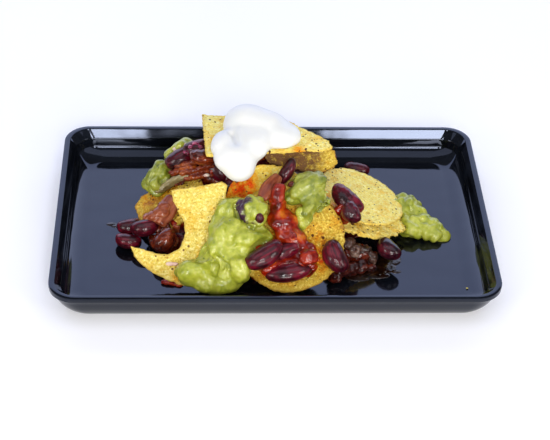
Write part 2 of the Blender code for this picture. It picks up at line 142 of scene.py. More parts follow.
bpy.ops.object.select_all(action="DESELECT")
bpy.ops.mesh.primitive_plane_add(size=1, location=(0, 0, TRAY_TOP))
tray = bpy.context.object
tray.name = tray.data.name = "melamine_tray"
bpy.ops.object.mode_set(mode="EDIT")
bpy.ops.mesh.select_all(action="SELECT")
bpy.ops.transform.resize(value=(2 * TRAY_HALF[0], 2 * TRAY_HALF[1], 1), center_override=(0, 0, TRAY_TOP))
bpy.ops.mesh.bevel(offset=RIM_RADIUS, segments=CORNER_STEPS, affect="VERTICES")
bpy.ops.mesh.select_all(action="SELECT")
bpy.ops.mesh.inset(thickness=RIM_WIDTH)
for profile, inset in ((TRAY_INSIDE, RIM_WIDTH), (TRAY_OUTSIDE, 0.0)):
    level = TRAY_TOP
    for step_in, height in profile:
        factor = [(half - step_in * MM) / (half - inset) for half in TRAY_HALF]
        bpy.ops.mesh.extrude_region_move(TRANSFORM_OT_translate={"value": (0, 0, height * MM - level)})
        bpy.ops.transform.resize(value=(*factor, 1), center_override=(0, 0, 0))
        inset, level = step_in * MM, height * MM
    bpy.ops.mesh.select_all(action="DESELECT")
    bpy.ops.mesh.select_non_manifold()
bpy.ops.mesh.edge_face_add()
bpy.ops.mesh.select_all(action="SELECT")
bpy.ops.mesh.normals_make_consistent(inside=False)
bpy.ops.object.mode_set(mode="OBJECT")
round_edge = tray.modifiers.new("rounded_edge", "BEVEL")
round_edge.width = 0.25 * MM
round_edge.segments = 2
round_edge.limit_method = "ANGLE"
round_edge.angle_limit = math.radians(40)
bpy.ops.object.modifier_apply(modifier="rounded_edge")

# Black melamine resin, compression moulded: a deep black body under a hard gloss, wiped in streaks some 80 mm long,
# with one dull smear on the back wall, and dust in specks of a millimetre, coarser than real ones so that they show
melamine, tree, shader, place = new_material("black_melamine_moulded")
wipe = put(tree, "Mapping", {"Vector": place, "Scale": (0.012, 0.05, 0.05), "Rotation": (0, 0, 0.2)})
streaks = put(tree, "TexNoise", {"Vector": wipe, "Scale": 1.0, "Detail": 5.0, "Roughness": 0.6})
dust = put(tree, "TexNoise", {"Vector": place, "Scale": 0.9})
away = put(tree, "VectorMath", {0: place, 1: (-46.0, 70.0, 14.0)}, operation="DISTANCE", output="Value")
smear = put(tree, "MapRange", {"Value": away, "From Min": 10.0, "From Max": 7.0, "To Max": 0.35})
rough = put(tree, "MapRange", {"Value": streaks, "From Min": 0.35, "From Max": 0.75, "To Min": 0.035, "To Max": 0.12})
rough_all = put(tree, "Math", {0: rough, 1: smear}, operation="ADD")
smudge = put(tree, "Mix", {0: 0.3, 2: streaks, 3: dust})
tint = put(tree, "ValToRGB", {"Fac": smudge}, stops=((0.42, "#050609"), (0.66, "#141820")))
wave = put(tree, "TexNoise", {"Vector": place, "Scale": 0.04, "Detail": 1.0})
bump = put(tree, "Bump", {"Height": wave, "Strength": 0.15, "Distance": 2 * MM})
feed(tree, shader, {
    "Base Color": tint,
    "Roughness": rough_all,
    "Normal": bump,
    "IOR": 1.55,
    "Specular IOR Level": 0.38,
    "Specular Tint": linear("#D4E0FF"),
})
dress(tray, melamine, ["tray"])
select_only(tray)
bpy.ops.object.shade_smooth_by_angle(angle=math.radians(35))


# ------------ corn chips
# Eleven fried corn chips, whole rounds and broken ones. Each is a thin sheet of ground, cooked corn dough, cut out,
# baked and fried, so it is blistered and grainy, toasted at its edge, and stained where sauce has run over it.

# In millimetres: the squares a chip is remade of, what is shaved off for the bumps to fill, and how far in from the
# edge it is nibbled and toasted. Its surface sags, blisters and grains by a height and a size.
CHIP_SQUARE, CHIP_TRIM, NIBBLE_REACH, TOAST_REACH = 0.6, 0.25, 4, 1.6
SAG_SIZE, BLISTERS, GRAINS = 11.0, (0.85, 3.6), (0.35, 1.1)


def added(name, data):
    """A new object in the scene."""
    made = bpy.data.objects.new(name, data)
    bpy.context.scene.collection.objects.link(made)
    return made


def copy_of(node_name, name):
    """A merged copy of a CAD node's mesh, which is then worked into the finished piece."""
    piece = added(name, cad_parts[node_name].data.copy())
    piece.data.name = name
    select_only(piece)
    bpy.ops.mesh.customdata_custom_splitnormals_clear()
    bpy.ops.object.mode_set(mode="EDIT")
    bpy.ops.mesh.select_all(action="SELECT")
    bpy.ops.mesh.remove_doubles(threshold=0.002 * MM)
    bpy.ops.object.mode_set(mode="OBJECT")
    return piece


def remesh(piece, voxel):
    """Melts a piece into an even skin of small squares."""
    select_only(piece)
    melt = piece.modifiers.new("melt", "REMESH")
    melt.mode = "VOXEL"
    melt.voxel_size = voxel * MM
    bpy.ops.object.modifier_apply(modifier="melt")


def soften(piece, factor, times):
    """Evens out a piece's surface."""
    select_only(piece)
    even = piece.modifiers.new("even", "SMOOTH")
    even.factor = factor
    even.iterations = times
    bpy.ops.object.modifier_apply(modifier="even")


def swell(piece, height, size=None, noise_depth=2):
    """Raises a piece's surface, evenly or by a cloudy pattern of bumps of one size, all in millimetres."""
    select_only(piece)
    raise_by = piece.modifiers.new("swell", "DISPLACE")
    raise_by.strength = height * MM
    raise_by.mid_level = 0.0
    if size:
        pattern = bpy.data.textures.new("swell", "CLOUDS")
        pattern.noise_scale = size * MM
        pattern.noise_depth = noise_depth
        raise_by.texture = pattern
        raise_by.texture_coords = "LOCAL"
        raise_by.mid_level = 0.5
    bpy.ops.object.modifier_apply(modifier="swell")


def corners(piece):
    """Every vertex of a piece, in millimetres."""
    flat = np.zeros(len(piece.data.vertices) * 3, np.float32)
    piece.data.vertices.foreach_get("co", flat)
    return flat.reshape(-1, 3).astype(float) / MM


def facing(piece):
    """The way each vertex of a piece faces."""
    flat = np.zeros(len(piece.data.vertices) * 3, np.float32)
    piece.data.vertices.foreach_get("normal", flat)
    return flat.reshape(-1, 3)


def set_corners(piece, places):
    """Moves every vertex of a piece to a place in millimetres."""
    piece.data.vertices.foreach_set("co", (places * MM).astype(np.float32).ravel())
    piece.data.update()


def mark(piece, name, values, kind="FLOAT", field="value"):
    """Stores a number or a place for each vertex, for the material to read."""
    attribute = piece.data.attributes.new(name, kind, "POINT")
    attribute.data.foreach_set(field, np.asarray(values, np.float32).ravel())


def spots(places, marks):
    """How strongly each place lies within round marks, x, y, z, radius and strength, that fade out at 1.3 radii."""
    strength = np.zeros(len(places))
    for x, y, z, radius, amount in marks:
        away = np.linalg.norm(places - (x, y, z), axis=1) / radius
        strength = np.maximum(strength, amount * np.clip(1.3 - away, 0, 1))
    return strength


def own_axes(places):
    """The middle of a piece and its long, short and thin directions."""
    middle = places.mean(axis=0)
    _, directions = np.linalg.eigh(np.cov((places - middle).T))
    return middle, directions[:, ::-1]


def chip(name, material, gnaw=0.5, wave=0.9, stains=(), chars=()):
    """Works a CAD chip into a fried one: a nibbled edge, a sag and blisters, and marks for stains and scorches."""
    piece = copy_of(name, "fried_" + name)
    remesh(piece, CHIP_SQUARE)
    soften(piece, factor=0.5, times=2)
    swell(piece, -CHIP_TRIM)
    places = corners(piece)
    middle, axes = own_axes(places)
    flat = (places - middle) @ axes
    upright = np.abs(facing(piece) @ axes[:, 2])
    # How far each vertex is from the edge, where the surface faces sideways
    edge = np.nonzero(upright < 0.45)[0]
    edge_tree = KDTree(len(edge))
    for index in edge:
        edge_tree.insert(flat[index] * (1, 1, 0), int(index))
    edge_tree.balance()
    rim = np.array([edge_tree.find(point * (1, 1, 0))[2] for point in flat])
    outward = flat * (1, 1, 0)
    outward /= np.linalg.norm(outward, axis=1)[:, None] + 1e-6
    # Wide bites and small crumbled ones
    level = [Vector(point) for point in flat * (1, 1, 0)]
    bites = np.array([noise.noise(point * 0.45) + 0.5 * noise.noise(point * 1.3) for point in level])
    flat -= outward * (gnaw * np.clip(bites + 0.25, 0, 1.2) * np.clip(1 - rim / NIBBLE_REACH, 0, 1))[:, None]
    places = flat @ axes.T + middle
    set_corners(piece, places)
    swell(piece, wave, SAG_SIZE)
    swell(piece, *BLISTERS, noise_depth=1)
    swell(piece, *GRAINS, noise_depth=1)
    mark(piece, "rim", np.exp(-rim / TOAST_REACH))
    mark(piece, "stain", spots(places, stains))
    mark(piece, "char", spots(places, chars))
    dress(piece, material, [name])


def surface(tree, shader, colour, bump, roughness, specular=0.5, coat=(0.0, 0.03), glow=(0.0, (1.0, 0.2, 0.1), 1.0)):
    """Feeds a food's shader: a coat is its weight and roughness, a glow its weight, its red, green and blue reach,
    and the millimetres that reach is counted in."""
    feed(tree, shader, {
        "Base Color": colour,
        "Normal": bump,
        "Roughness": roughness,
        "Specular IOR Level": specular,
        "Coat Weight": coat[0],
        "Coat Roughness": coat[1],
        "Subsurface Weight": glow[0],
        "Subsurface Radius": glow[1],
        "Subsurface Scale": glow[2] * MM,
    })


def specks(tree, place, scale, share, width, fade, crowd=1.0):
    """A mask of round specks: how close they lie, what share of them shows, their width, soft edge and crowding."""
    away = put(tree, "TexVoronoi", {"Vector": place, "Scale": scale})
    lot = put(tree, "SeparateColor", {0: away.node.outputs["Color"]})
    size = put(tree, "MapRange", {"Value": lot, "From Min": 1 - share, "From Max": 1.0, "To Max": width})
    size = put(tree, "Math", {0: size, 1: crowd}, operation="MULTIPLY")
    away = put(tree, "Math", {0: away, 1: size}, operation="SUBTRACT")
    return put(tree, "MapRange", {"Value": away, "From Max": -fade})


def fried_corn(name, pale, crumb, toast, speckle, freckle):
    """Corn dough, ground, baked and fried: matt and grainy, mottled pale to toasted, with dark bran specks."""
    material, tree, shader, place = new_material(name)
    # Ground corn, in grains of about a millimetre, coarser than the real meal so that they show
    patches = put(tree, "TexNoise", {"Vector": place, "Scale": 0.13, "Detail": 3.0, "Roughness": 0.6})
    grit = put(tree, "TexNoise", {"Vector": place, "Scale": 0.85, "Roughness": 0.6})
    ground = put(tree, "ValToRGB", {"Fac": grit}, stops=((0.31, toast), (0.42, crumb), (0.52, crumb), (0.63, pale)))
    warm = put(tree, "ValToRGB", {"Fac": patches}, stops=((0.35, "#F6DC98"), (0.48, "#FFFFFF"), (0.66, "#FFFBE8")))
    colour = blend(tree, 0.8, ground, warm, "MULTIPLY")
    rim = put(tree, "Attribute", attribute_name="rim", output="Fac")
    edge = put(tree, "Math", {0: rim, 1: grit}, operation="MULTIPLY")
    edge = put(tree, "MapRange", {"Value": edge, "From Min": 0.25, "From Max": 0.6})
    colour = blend(tree, edge, colour, linear(toast))
    # Juice that has soaked in: orange where thin, red where it is thick
    stain = put(tree, "Attribute", attribute_name="stain", output="Fac")
    soak = put(tree, "TexNoise", {"Vector": place, "Scale": 0.3, "Detail": 4.0, "Roughness": 0.7})
    uneven = put(tree, "MapRange", {"Value": soak, "From Min": 0.3, "From Max": 0.7, "To Max": 1.5})
    soaked = put(tree, "Math", {0: uneven, 1: stain}, operation="MULTIPLY")
    juice = put(
        tree,
        "ValToRGB",
        {"Fac": soaked},
        stops=((0.05, "#FFFFFF"), (0.3, "#FFD070"), (0.6, "#FFA03C"), (0.95, "#FF5C14")),
    )
    colour = blend(tree, 1.0, colour, juice, "MULTIPLY")
    # Browner blisters, then two layers of bran specks about a millimetre wide, a little larger than real ones so
    # that they show, and crowded in places: each layer is its scale, width, colour and share
    drift = put(tree, "TexNoise", {"Vector": place, "Scale": 0.09})
    strewn = put(tree, "MapRange", {"Value": drift, "From Min": 0.38, "From Max": 0.52, "To Min": 0.5})
    layers = (
        (0.2, 0.26, toast, freckle * 1.6),
        (0.36, 0.38, speckle, freckle),
        (0.7, 0.42, speckle, freckle * 0.8),
    )
    for scale, width, dark, share in layers:
        dot = specks(tree, place, scale, share, width, fade=0.04, crowd=strewn)
        colour = blend(tree, dot, colour, linear(dark))
    char = put(tree, "Attribute", attribute_name="char", output="Fac")
    charred = put(tree, "Math", {0: uneven, 1: char}, operation="MULTIPLY")
    charred = put(tree, "MapRange", {"Value": charred, "From Min": 0.15, "From Max": 0.8})
    colour = blend(tree, charred, colour, linear("#86603C"))
    gloss = put(tree, "MapRange", {"Value": soaked, "To Min": 0.6, "To Max": 0.22})
    bump = put(tree, "Bump", {"Height": grit, "Strength": 1.0, "Distance": 1.0 * MM})
    surface(tree, shader, colour, bump, gloss, specular=0.15, glow=(0.04, (1.0, 0.6, 0.2), 0.8))
    return material


# Evenly fried; a lighter copy of it that paints in light, for the chip in the cream's shadow; pale and speckled;
# and golden brown: each is its pale and its middle grains, its toasted ones, its specks and how many of them show
CORN_YELLOW = fried_corn("fried_corn_yellow", "#F8E898", "#E2CA60", "#BC9640", "#7E5C2C", freckle=0.14)
CORN_PAINTED_LIGHT = fried_corn("fried_corn_painted_light", "#FFF094", "#FFDC58", "#E0B044", "#8A5C24", freckle=0.2)
CORN_PALE = fried_corn("fried_corn_pale", "#FFF6AC", "#FAE476", "#DCB850", "#5C3014", freckle=0.36)
CORN_GOLD = fried_corn("fried_corn_golden", "#EED66C", "#CEAC3C", "#AC7C30", "#5A2E10", freckle=0.34)

# Each mark is its place, its radius and its strength
chip("chip_front_left", CORN_YELLOW, stains=((-48, -49, 12, 8, 0.25),))
chip(
    "chip_front",
    CORN_GOLD,
    gnaw=0.6,
    wave=1.5,
    stains=(
        (4, -45, 22, 14, 1.0), (10, -31, 31, 8, 0.9), (16, -42, 24, 8, 1.0), (24, -44, 20, 8, 0.8),
        (33, -28, 30, 6, 0.3), (20, -25, 36, 5, 0.25), (22, -38, 25, 11, 0.3),
    ),
    chars=((30, -22, 36, 6, 0.4), (26, -35, 27, 5, 0.35), (18, -33, 29, 4, 0.35)),
)
# The middle chip takes the lighter copy, which paints light on it where the cream shades it
chip("chip_middle", CORN_PAINTED_LIGHT, stains=((-17, -9, 38, 9, 1.0), (-14, -13, 34, 9, 1.0), (-22, -8, 35, 7, 0.8)))
chip("chip_left", CORN_GOLD, stains=((-62, 8, 16, 16, 0.35),), chars=((-64, 4, 15, 9, 0.5),))
chip("chip_right_low", CORN_PALE, gnaw=2.4, wave=1.6)
chip("chip_right_top", CORN_PALE, gnaw=0.4, stains=((34, -20, 29, 9, 0.9), (26, -6, 30, 8, 0.4)))
chip("chip_under_top", CORN_GOLD, gnaw=1.2, chars=((6, 5, 42, 16, 1.7), (18, 8, 44, 9, 1.2)))
chip("chip_top", CORN_PALE, gnaw=0.7, stains=((13, -1, 56, 3.5, 0.5), (-30, 5, 57, 10, 0.15)))
chip("chip_back", CORN_YELLOW, gnaw=0.6, stains=((2, 46, 30, 9, 0.5),))
chip("chip_back_top", CORN_GOLD, gnaw=0.6, chars=((-20, 40, 38, 8, 0.4),))
chip("chip_back_left", CORN_YELLOW, gnaw=0.8)


# ------------ kidney beans
# Cooked red kidney beans, whole, lying where they slid out of the salsa. Each has a taut maroon skin with a few
# wrinkles, wet with sauce, and some are coated brown.

# In millimetres: how far a bean is plumped all over, and the size of its wrinkles
PLUMPING, WRINKLE_SIZE = 0.75, 2.6


def kidney_skin(name, deep, mid, light, roughness, coat):
    """The boiled skin of a bean: taut and dark, faintly streaked along its length, under a wet shine."""
    material, tree, shader, place = new_material(name)
    along = put(tree, "Attribute", attribute_name="grain", output="Vector")
    streak = put(tree, "Mapping", {"Vector": along, "Scale": (0.06, 0.55, 0.55)})
    veins = put(tree, "TexNoise", {"Vector": streak, "Scale": 1.0, "Detail": 4.0, "Distortion": 0.6})
    blush = put(tree, "TexNoise", {"Vector": place, "Scale": 0.14, "Detail": 3.0})
    mixed = put(tree, "Math", {0: veins, 1: blush}, operation="MULTIPLY")
    colour = put(tree, "ValToRGB", {"Fac": mixed}, stops=((0.14, deep), (0.25, mid), (0.4, light)))
    wrinkle = put(tree, "TexNoise", {"Vector": streak, "Scale": 2.2, "Detail": 3.0, "Distortion": 1.2})
    bump = put(tree, "Bump", {"Height": wrinkle, "Strength": 0.15, "Distance": 0.5 * MM})
    glow = (0.15, (1.0, 0.25, 0.2), 1.5)
    surface(tree, shader, colour, bump, roughness, specular=0.2, coat=(coat, 0.05), glow=glow)
    return material


def grain_of(piece):
    """Stores each vertex's place along the piece's own length, breadth and depth."""
    places = corners(piece)
    middle, axes = own_axes(places)
    mark(piece, "grain", (places - middle) @ axes + middle, "FLOAT_VECTOR", "vector")


def kidney_bean(name, material, wrinkles, growth):
    """Rounds off a CAD bean, plumps it along its own axes and puckers its skin."""
    piece = copy_of(name, "kidney_" + name)
    bpy.ops.object.mode_set(mode="EDIT")
    bpy.ops.mesh.tris_convert_to_quads()
    bpy.ops.object.mode_set(mode="OBJECT")
    rounder = piece.modifiers.new("rounder", "SUBSURF")
    rounder.levels = rounder.render_levels = 3
    bpy.ops.object.modifier_apply(modifier="rounder")
    swell(piece, PLUMPING)
    places = corners(piece)
    middle, axes = own_axes(places)
    set_corners(piece, (places - middle) @ axes * growth @ axes.T + middle)
    swell(piece, wrinkles, WRINKLE_SIZE, noise_depth=1)
    grain_of(piece)
    dress(piece, material, [name])


# Clean and maroon, brown under sauce, a near-black copy that paints in shade on the far right bean, and mashed to a
# grey-brown paste
BEAN_SKIN = kidney_skin("kidney_bean_skin", "#1E0308", "#460816", "#781226", roughness=0.35, coat=0.4)
BEAN_SAUCED = kidney_skin("kidney_bean_in_sauce", "#300C06", "#5A1C0C", "#8A3A18", roughness=0.24, coat=0.6)
BEAN_PAINTED_SHADE = kidney_skin("kidney_bean_painted_shade", "#12020A", "#300614", "#56101E", roughness=0.3, coat=0.5)
CRUSHED_BEAN = kidney_skin("crushed_kidney_bean", "#2E1A14", "#553A30", "#8A7062", roughness=0.35, coat=0.5)
# How much longer, broader and deeper some beans are than they were drawn; the one behind the heap is smaller
AS_DRAWN = (1.0, 1.0, 1.0)
BEAN_GROWTH = {
    "bean_front_a": (1.04, 1.14, 1.1),
    "bean_front_b": (1.3, 1.15, 1.1),
    "bean_front_c": (1.12, 1.08, 1.0),
    "bean_behind": (0.72, 0.8, 0.8),
}
BEANS_IN_SAUCE = ("bean_left_d", "bean_right_a", "bean_back_c")
for name in sorted(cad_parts):
    if name.startswith("bean_") and name != "bean_salsa":
        sauced = name in BEANS_IN_SAUCE
        wrinkles = 0.8 if sauced or name.startswith("bean_on_chip") else 0.25
        # The far right bean, in shadow, takes the near-black skin of painted shade
        skin = BEAN_SAUCED if sauced else BEAN_PAINTED_SHADE if name == "bean_right_b" else BEAN_SKIN
        kidney_bean(name, skin, wrinkles, BEAN_GROWTH.get(name, AS_DRAWN))


# ------------ onion petals and tomato
# Two petals of onion or pepper and a piece of tomato, cut by hand and stewed in the sauce until they are limp,
# see-through at the edge and glossy.


def stewed(name, deep, mid, light, glow):
    """Stewed vegetable flesh: soft, wet, lighter along its fibres, and glowing a little."""
    material, tree, shader, place = new_material(name)
    along = put(tree, "Attribute", attribute_name="grain", output="Vector")
    fibre = put(tree, "Mapping", {"Vector": along, "Scale": (0.07, 0.4, 0.4)})
    lines = put(tree, "TexNoise", {"Vector": fibre, "Scale": 1.0, "Detail": 4.0, "Distortion": 0.4})
    colour = put(tree, "ValToRGB", {"Fac": lines}, stops=((0.3, deep), (0.5, mid), (0.72, light)))
    bump = put(tree, "Bump", {"Height": lines, "Strength": 0.3, "Distance": 0.8 * MM})
    surface(tree, shader, colour, bump, 0.3, specular=0.25, coat=(0.35, 0.06), glow=(0.25, glow, 2.5))
    return material


def cut_piece(name, material, bumps=0.6, size=5.0):
    """Rounds off a cut petal or dice and lets it sag in soft bumps of one height and size."""
    piece = copy_of(name, "stewed_" + name)
    remesh(piece, voxel=0.5)
    soften(piece, factor=0.5, times=3)
    swell(piece, 0.3)
    swell(piece, bumps, size, noise_depth=0)
    grain_of(piece)
    dress(piece, material, [name])


# Limp brown-pink onion, red tomato flesh, onion stained brown, grey-tan onion skin, purple raw onion, near-black
# sauce, and pale raw onion with a pink edge; the last numbers are how far red, green and blue light runs in each
STEWED_ONION = stewed("stewed_onion_petal", "#6C2A16", "#8E4628", "#B47050", (1.0, 0.4, 0.15))
STEWED_TOMATO = stewed("stewed_tomato", "#4A0602", "#7E1405", "#A83410", (1.0, 0.15, 0.05))
SAUCED_ONION = stewed("onion_in_brown_sauce", "#4A1206", "#76280C", "#B45C22", (1.0, 0.3, 0.1))
ONION_SKIN = stewed("grey_onion_skin", "#5A4E2E", "#887A50", "#BCB08A", (1.0, 0.8, 0.5))
RED_ONION = stewed("raw_red_onion", "#44081E", "#78183E", "#C4708E", (1.0, 0.4, 0.5))
DARK_SAUCE = stewed("dark_bean_sauce", "#160403", "#360C06", "#6A2412", (1.0, 0.2, 0.1))
RAW_ONION = stewed("pink_edged_raw_onion", "#C88A8C", "#E8C8B4", "#FFF2E0", (1.0, 0.8, 0.7))
cut_piece("pepper_strip_left", STEWED_ONION)
cut_piece("pepper_strip_middle", STEWED_ONION)
cut_piece("tomato_dice", STEWED_TOMATO, bumps=1.0, size=4.0)


# ------------ guacamole
# Avocado mashed by fork with lime, dropped on in spoonfuls: smooth, glossy folds over softer lumps. It is pale
# yellow-green, greener in the hollows, with the odd bit of herb.


def mashed(name, *stops):
    """Avocado mashed by fork: soft green mottling, a fine wet grain, flecks of herb, and torn dark bean skin."""
    material, tree, shader, place = new_material(name)
    turned = put(tree, "TexNoise", {"Vector": place, "Scale": 0.13, "Detail": 3.0, "Distortion": 1.0})
    mash = put(tree, "TexNoise", {"Vector": place, "Scale": 0.4, "Detail": 3.0, "Roughness": 0.6})
    mixed = put(tree, "Mix", {0: 0.4, 2: turned, 3: mash})
    colour = put(tree, "ValToRGB", {"Fac": mixed}, stops=tuple(zip((0.34, 0.46, 0.56, 0.68), stops)))
    herb = specks(tree, place, scale=0.3, share=0.2, width=0.2, fade=0.05)
    colour = blend(tree, herb, colour, linear("#66782A"))
    # Where a bean's skin or red juice has been stirred in
    skin_mark = put(tree, "Attribute", attribute_name="bean_skin", output="Fac")
    torn = put(tree, "Math", {0: skin_mark, 1: mash}, operation="MULTIPLY")
    torn = put(tree, "MapRange", {"Value": torn, "From Min": 0.22, "From Max": 0.42})
    colour = blend(tree, torn, colour, linear("#3E2038"))
    fine = put(tree, "TexNoise", {"Vector": place, "Scale": 0.7, "Detail": 3.0})
    bump = put(tree, "Bump", {"Height": fine, "Strength": 0.35, "Distance": 0.6 * MM})
    surface(tree, shader, colour, bump, 0.34, coat=(0.35, 0.1), glow=(0.12, (0.8, 1.0, 0.25), 1.5))
    return material


# Fresh and yellow-green, and a darker, duller copy that paints in shade on the middle and left spoonfuls, with juice
# soaked into the middle one
GUACAMOLE = mashed("mashed_avocado", "#7C8720", "#9CA22E", "#ADB03A", "#C6C56A")
GUACAMOLE_SHADED_AND_JUICED = mashed("mashed_avocado_shaded_and_juiced", "#586614", "#7E8624", "#969A32", "#B2B25A")


def groove(piece, points, width, depth):
    """Presses a crease into a soft piece along a run of points, or raises a ridge where the depth is negative."""
    places = corners(piece)
    away = np.full(len(places), 1e9)
    for start, end in zip(points, points[1:]):
        start, run = np.array(start, float), np.subtract(end, start)
        share = np.clip((places - start) @ run / (run @ run), 0, 1)
        away = np.minimum(away, np.linalg.norm(places - start - share[:, None] * run, axis=1))
    set_corners(piece, places - facing(piece) * (depth * np.exp(-((away / width) ** 2)))[:, None])


def smear(piece, height, long, wide, way):
    """Drags a soft piece into lobes with sharp creases between them, longer one way than the other."""
    places = corners(piece)
    way = np.array(way, float) / np.linalg.norm(way)
    squeezed = places / wide + np.outer(places @ way * (1 / long - 1 / wide), way)
    # Where the noise passes through nothing there is a sharp crease
    lobes = np.array([abs(noise.noise(Vector(point))) for point in squeezed])
    set_corners(piece, places + facing(piece) * (height * (2 * lobes - 0.45))[:, None])


def spoonful(name, fold, lump, grooves=(), skins=(), lobes=(10.0, 5.0), material=GUACAMOLE):
    """Works a CAD lump of guacamole into folds and lumps of so many millimetres, with creases and torn skins."""
    piece = copy_of(name, "mashed_" + name)
    remesh(piece, voxel=0.6)
    soften(piece, factor=0.7, times=10)
    swell(piece, 0.9)
    swell(piece, fold, size=9.0, noise_depth=0)
    smear(piece, lump, *lobes, way=(0.5, 0.7, 0.5))
    soften(piece, factor=0.5, times=1)
    for points, width, depth in grooves:
        groove(piece, points, width, depth)
    swell(piece, 0.45, size=1.7, noise_depth=1)
    soften(piece, factor=0.4, times=1)
    mark(piece, "bean_skin", spots(corners(piece), skins))
    dress(piece, material, [name])


# Each groove is its run of points, its width and its depth; each skin is its place, radius and strength
spoonful(
    "guacamole_front",
    fold=2.2,
    lump=1.7,
    lobes=(22.0, 10.0),
    grooves=(
        (((-19, -28, 41), (-18.3, -35.6, 35.3), (-20.4, -42.5, 34.4), (-23, -47, 31.5)), 1.5, 1.6),
        (((-16, -30, 41), (-15.5, -36, 35.5), (-17, -43, 34)), 2.0, -1.1),
        (((-29.6, -50.6, 25.2), (-28.1, -53.1, 22.7), (-24, -56, 22.5)), 1.4, 2.6),
        (((-32, -52.8, 17), (-27.5, -58, 15), (-22, -58, 18)), 1.6, 1.4),
        (((-36, -47, 26), (-39, -50, 20), (-38, -54, 14)), 2.0, 1.5),
        (((-18, -55, 25), (-16, -57, 20), (-19, -58, 15)), 1.8, -1.3),
        (((-38.7, -45.8, 25.2), (-38, -40, 27.5), (-36, -34, 29.5)), 5.0, 5.0),
        (((-36.7, -47.5, 25.3), (-33, -50, 22), (-30.6, -51.8, 19.6)), 1.7, 3.8),
        (((-34, -44, 29), (-31, -47, 27), (-29, -49, 25)), 2.0, -1.2),
        (((-27.5, -54.4, 20.5), (-25, -56.2, 19), (-23.5, -55.8, 21.5), (-25.5, -53.5, 23)), 1.2, 1.8),
        (((-29.5, -56, 17), (-24.5, -58, 15), (-20.5, -57.5, 19.5), (-22, -54.5, 24.5)), 1.5, -1.3),
        (((-19, -45, 32.5), (-12, -43, 31.5), (-8, -41, 31)), 1.6, -1.2),
        (((-2.5, -38, 31), (-3.5, -42, 29.5), (-5, -46, 28)), 4.5, 3.4),
        (((-20.5, -28.4, 41), (-18.8, -34, 36.5), (-14.7, -37.8, 34), (-9.5, -39, 33), (-5.5, -36, 32.5)), 1.5, 3.6),
        (((-10.5, -51, 22), (-10.5, -54, 17)), 4.2, 3.4),
        (((-20, -49, 30), (-13, -47, 29), (-7, -44, 28)), 2.0, 1.8),
    ),
)
spoonful(
    "guacamole_ball",
    fold=1.8,
    lump=2.0,
    skins=(
        (-18.5, -30, 42, 6, 1.2), (-18, -33, 38, 4.5, 1.1), (-15, -30, 45, 4, 1.0), (-9, -34, 36, 2.5, 0.9),
        (-16.5, -35.5, 35.5, 4, 0.9), (-12, -37.5, 34.5, 3.5, 0.8),
    ),
)
# The middle spoonful takes the darker copy: partly painted shade, partly juice soaked in
spoonful(
    "guacamole_middle",
    fold=2.6,
    lump=2.0,
    lobes=(14.0, 6.5),
    material=GUACAMOLE_SHADED_AND_JUICED,
    grooves=(
        (((5, -22, 42), (12, -24, 40), (19, -22, 42), (26, -18, 43)), 1.6, 1.8),
        (((28.2, -24.7, 41.2), (28.3, -26.6, 36.2)), 5.5, 5.0),
        (((30, -16, 42), (29, -22, 41)), 3.0, 2.4),
        (((18, -31.5, 34), (21, -29, 36)), 4.5, 1.8),
    ),
    skins=((8, -15, 44, 4.5, 0.6),),
)
spoonful("guacamole_right", fold=3.0, lump=1.6, grooves=((((72, 2, 15), (80, -4, 12), (90, -8, 7)), 1.6, 1.5),))
# The left spoonful takes the darker copy too, as painted shade
spoonful(
    "guacamole_left",
    fold=1.6,
    lump=2.4,
    grooves=((((-64, 11, 24), (-58, 13, 26), (-55, 18, 28)), 1.5, 1.4),),
    material=GUACAMOLE_SHADED_AND_JUICED,
)
spoonful("guacamole_rear", fold=1.6, lump=2.4)


# ------------ sour cream
# One spoonful of thick sour cream on the top chip. It is white, smooth and dense, and has slumped into lobes
# that run over the chip's front edge.

# Cultured cream, stirred: dense and white with a satin skin, and light runs a little way into it
CREAM, tree, shader, place = new_material("sour_cream")
shade = put(tree, "TexNoise", {"Vector": place, "Scale": 0.08})
colour = put(tree, "ValToRGB", {"Fac": shade}, stops=((0.3, "#DEDEDA"), (0.7, "#E8E7E2")))
fine = put(tree, "TexNoise", {"Vector": place, "Scale": 0.35, "Detail": 3.0})
bump = put(tree, "Bump", {"Height": fine, "Strength": 0.08, "Distance": 0.8 * MM})
surface(tree, shader, colour, bump, 0.38, glow=(0.3, (1.0, 0.9, 0.75), 2.0))

cream = copy_of("sour_cream", "spooned_sour_cream")
remesh(cream, voxel=0.8)
soften(cream, factor=0.9, times=30)
swell(cream, 1.6)
swell(cream, 1.8, size=16.0, noise_depth=0)
# The fold down its middle, the lobe at its left, and the ridge beside the fold
groove(cream, ((-22, 2, 64), (-19.5, -6, 62), (-18, -12, 57), (-18, -15, 53)), width=1.8, depth=2.6)
groove(cream, ((-30, -5, 58.5), (-28, -10.5, 55.5)), width=4.5, depth=-2.6)
groove(cream, ((-18.5, 4, 65), (-16, -5, 62), (-14.5, -11, 57)), width=2.2, depth=-0.9)
soften(cream, factor=0.5, times=5)
dress(cream, CREAM, ["sour_cream"])


# ------------ tomato sauce
# Chunky tomato sauce that has run down the front chip from the diced tomato to the beans: a wet red film with
# lumps of tomato and bubbles in it.

# Tomato cooked down: red flesh, orange where thin, and a wet film over it that gives small sharp lights
SAUCE, tree, shader, place = new_material("tomato_sauce")
thick = put(tree, "TexNoise", {"Vector": place, "Scale": 0.16})
colour = put(
    tree,
    "ValToRGB",
    {"Fac": thick},
    stops=((0.34, "#4C0803"), (0.48, "#821404"), (0.6, "#A62E06"), (0.74, "#C86C18")),
)
fine = put(tree, "TexNoise", {"Vector": place, "Scale": 0.5})
bump = put(tree, "Bump", {"Height": fine, "Strength": 0.12, "Distance": 0.8 * MM})
surface(tree, shader, colour, bump, 0.3, specular=0.1, coat=(0.8, 0.02), glow=(0.12, (1.0, 0.15, 0.05), 2.5))

